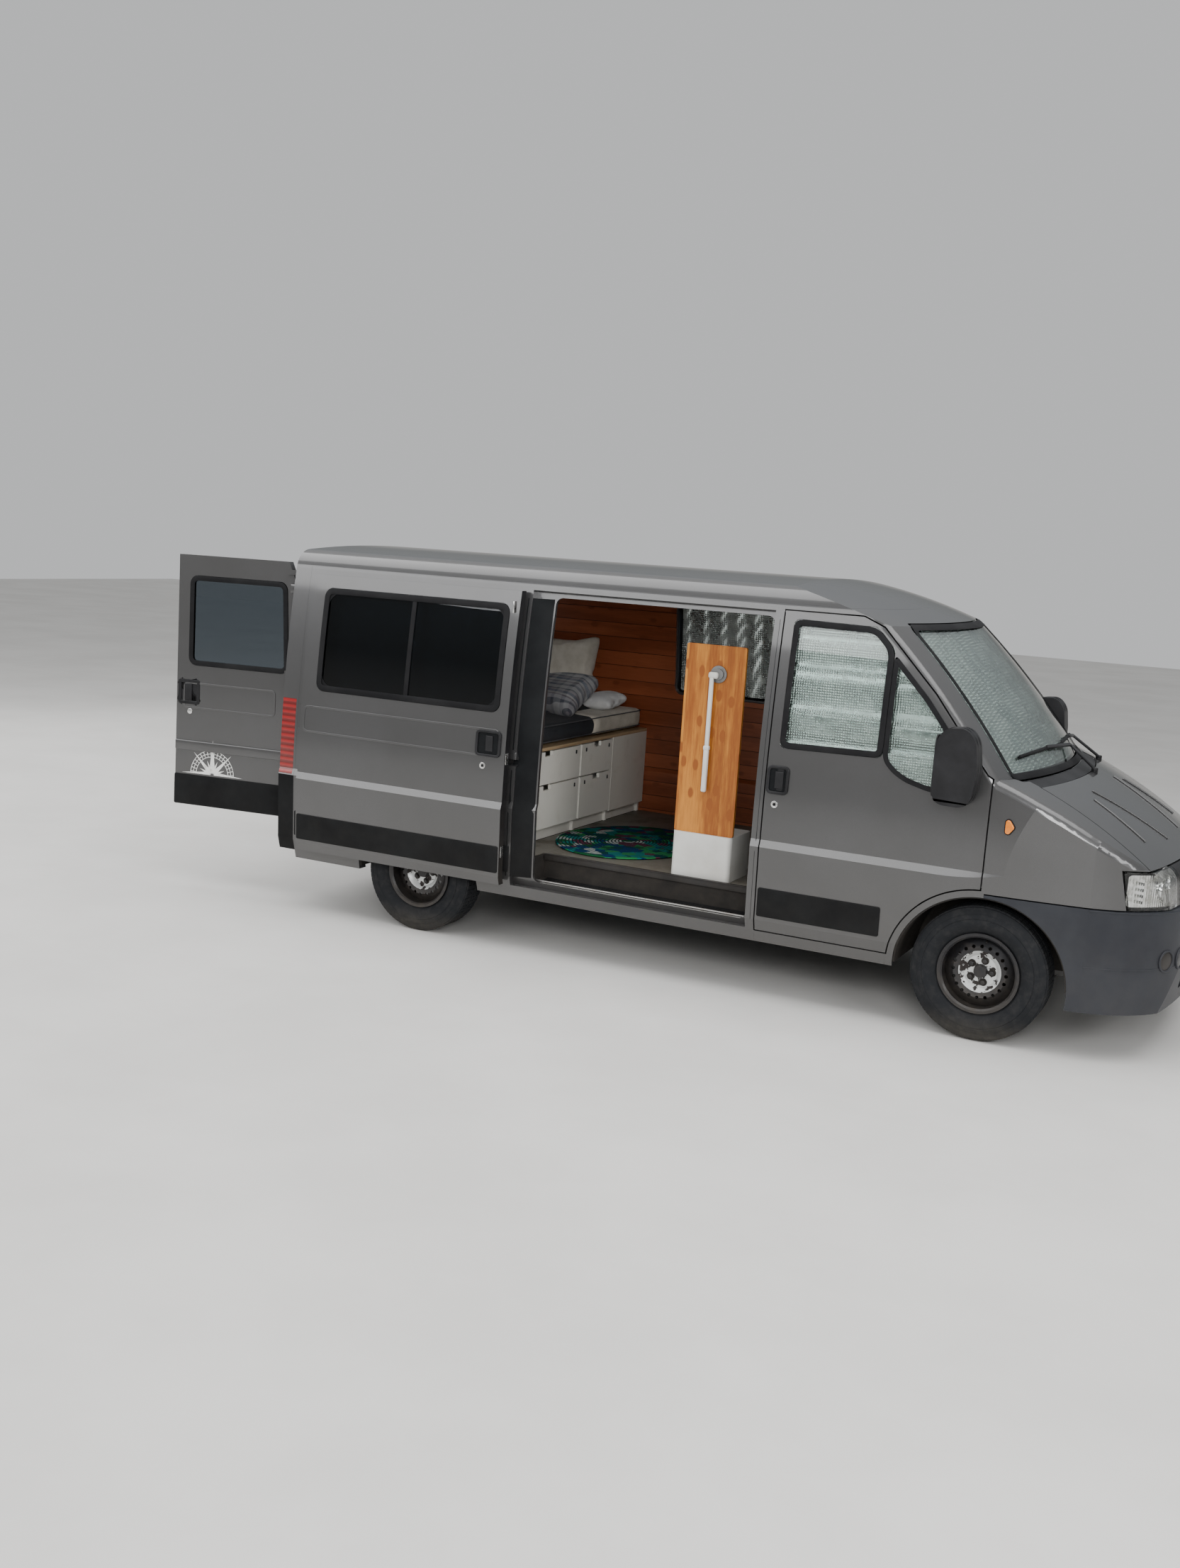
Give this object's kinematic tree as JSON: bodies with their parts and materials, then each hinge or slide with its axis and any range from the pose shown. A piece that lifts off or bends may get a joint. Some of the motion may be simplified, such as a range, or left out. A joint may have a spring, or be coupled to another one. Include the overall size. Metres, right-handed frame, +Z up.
{
  "type": "camper van",
  "caption": "Dark grey low-roof panel van fitted out as a camper, with its sliding side door and rear doors open onto a bed, drawers and planked walls.",
  "frame": {"origin": "On the ground under the middle of the whole length, which counts the two open rear doors, and on the van's centre plane.", "axes": "+X points forwards, +Y to the van's left, +Z up."},
  "size_m": [5.9306, 2.3, 2.1498],
  "materials": {
    "body_paint": "dark grey metallic paint",
    "underbody": "dark underbody paint",
    "bumper_plastic": "dark blue-grey grained plastic",
    "black_plastic": "black plastic",
    "window_glass": "tinted glass",
    "lamp_glass": "clear lens",
    "tail_lamp_red": "red ribbed lens",
    "tyre": "dusty tyre rubber",
    "wheel_steel": "black steel",
    "bare_steel": "steel",
    "cast_metal": "cast metal",
    "seat_fabric": "dark woven cloth",
    "mattress_fabric": "dark cloth cover",
    "pillow_fabric": "white cotton",
    "white_board": "white faced board",
    "bed_board": "plywood",
    "lining_wood": "reddish varnished planks",
    "pine": "varnished pine",
    "vinyl": "grey vinyl",
    "white_plastic": "white plastic"
  },
  "bodies": {
    "body": {"side_panel_right": "body_paint", "side_panel_left": "body_paint", "roof_panel": "body_paint", "cab_frame": "body_paint", "rear_frame": "body_paint", "front_wings": "body_paint", "sliding_door": "body_paint", "floor_pan": "underbody", "front_subframe": "underbody", "fuel_tank": "underbody", "front_bumper": "bumper_plastic", "rear_bumper": "bumper_plastic", "grille_and_scuttle": "black_plastic", "dashboard": "black_plastic", "sliding_door_fittings": "black_plastic", "windscreen": "window_glass", "side_window_left": "window_glass", "sliding_door_glass": "window_glass", "headlamps": "lamp_glass", "tail_lamps": "tail_lamp_red", "spare_wheel": "tyre", "rear_axle": "wheel_steel", "exhaust": "bare_steel", "engine": "cast_metal", "cab_seats": "seat_fabric", "mattress": "mattress_fabric", "pillows": "pillow_fabric", "bed_base": "bed_board", "wall_lining": "lining_wood", "table_top": "pine", "floor_covering": "vinyl", "storage_box": "white_plastic", "table_leg": "white_plastic"},
    "bonnet": {"bonnet": "body_paint"},
    "cab_door_right": {"cab_door_right": "body_paint", "cab_door_glass_right": "window_glass", "cab_door_fittings_right": "black_plastic"},
    "cab_door_left": {"cab_door_left": "body_paint", "cab_door_glass_left": "window_glass", "cab_door_fittings_left": "black_plastic"},
    "rear_door_right": {"rear_door_right": "body_paint", "rear_door_glass_right": "window_glass"},
    "rear_door_left": {"rear_door_left": "body_paint", "rear_door_glass_left": "window_glass"},
    "knuckle_right": {"knuckle_right": "cast_metal"},
    "knuckle_left": {"knuckle_left": "cast_metal"},
    "wheel_front_right": {"tyre_front_right": "tyre", "rim_front_right": "wheel_steel"},
    "wheel_front_left": {"tyre_front_left": "tyre", "rim_front_left": "wheel_steel"},
    "wheel_rear_right": {"tyre_rear_right": "tyre", "rim_rear_right": "wheel_steel"},
    "wheel_rear_left": {"tyre_rear_left": "tyre", "rim_rear_left": "wheel_steel"},
    "steering_wheel": {"steering_wheel": "black_plastic"},
    "drawer_lower_right": {"drawer_lower_right": "white_board"},
    "drawer_upper_right": {"drawer_upper_right": "white_board"},
    "drawer_lower_left": {"drawer_lower_left": "white_board"},
    "drawer_upper_left": {"drawer_upper_left": "white_board"}
  },
  "joints": [
    {"name": "bonnet_hinge", "type": "hinge", "parent": "body", "child": "bonnet", "pos_m": [2.1963, 0, 1.262], "axis": [0, -1, 0], "range_deg": [0, 55]},
    {"name": "cab_door_right_hinge", "type": "hinge", "parent": "body", "child": "cab_door_right", "pos_m": [2.0363, -1, 0.3], "axis": [0, 0, 1], "range_deg": [0, 68]},
    {"name": "cab_door_left_hinge", "type": "hinge", "parent": "body", "child": "cab_door_left", "pos_m": [2.0363, 1, 0.3], "axis": [0, 0, -1], "range_deg": [0, 68]},
    {"name": "rear_door_right_hinge", "type": "hinge", "parent": "body", "child": "rear_door_right", "pos_m": [-2.1437, -0.825, 0.5], "axis": [0, 0, 1], "range_deg": [-98, 80]},
    {"name": "rear_door_left_hinge", "type": "hinge", "parent": "body", "child": "rear_door_left", "pos_m": [-2.1437, 0.825, 0.5], "axis": [0, 0, -1], "range_deg": [-98, 80]},
    {"name": "steer_right", "type": "hinge", "parent": "body", "child": "knuckle_right", "pos_m": [2.0563, -0.8, 0.2], "axis": [0, 0.2079, 0.9781], "range_deg": [-35, 35]},
    {"name": "steer_left", "type": "hinge", "parent": "body", "child": "knuckle_left", "pos_m": [2.0563, 0.8, 0.2], "axis": [0, -0.2079, 0.9781], "range_deg": [-35, 35]},
    {"name": "wheel_front_right_spin", "type": "hinge", "parent": "knuckle_right", "child": "wheel_front_right", "pos_m": [2.0563, -0.86, 0.335], "axis": [0, 1, 0], "continuous": true},
    {"name": "wheel_front_left_spin", "type": "hinge", "parent": "knuckle_left", "child": "wheel_front_left", "pos_m": [2.0563, 0.86, 0.335], "axis": [0, 1, 0], "continuous": true},
    {"name": "wheel_rear_right_spin", "type": "hinge", "parent": "body", "child": "wheel_rear_right", "pos_m": [-1.1437, -0.86, 0.335], "axis": [0, 1, 0], "continuous": true},
    {"name": "wheel_rear_left_spin", "type": "hinge", "parent": "body", "child": "wheel_rear_left", "pos_m": [-1.1437, 0.86, 0.335], "axis": [0, 1, 0], "continuous": true},
    {"name": "steering_wheel_turn", "type": "hinge", "parent": "body", "child": "steering_wheel", "pos_m": [1.6363, 0.44, 1.035], "axis": [-0.6428, 0, 0.766], "range_deg": [-540, 540]},
    {"name": "drawer_lower_right_slide", "type": "slide", "parent": "body", "child": "drawer_lower_right", "axis": [1, 0, 0], "range_m": [0, 0.35]},
    {"name": "drawer_upper_right_slide", "type": "slide", "parent": "body", "child": "drawer_upper_right", "axis": [1, 0, 0], "range_m": [0, 0.35]},
    {"name": "drawer_lower_left_slide", "type": "slide", "parent": "body", "child": "drawer_lower_left", "axis": [1, 0, 0], "range_m": [0, 0.35]},
    {"name": "drawer_upper_left_slide", "type": "slide", "parent": "body", "child": "drawer_upper_left", "axis": [1, 0, 0], "range_m": [0, 0.35]}
  ],
  "couplings": [
    {"joint": "steer_left", "follows": "steer_right", "ratio": 1}
  ]
}
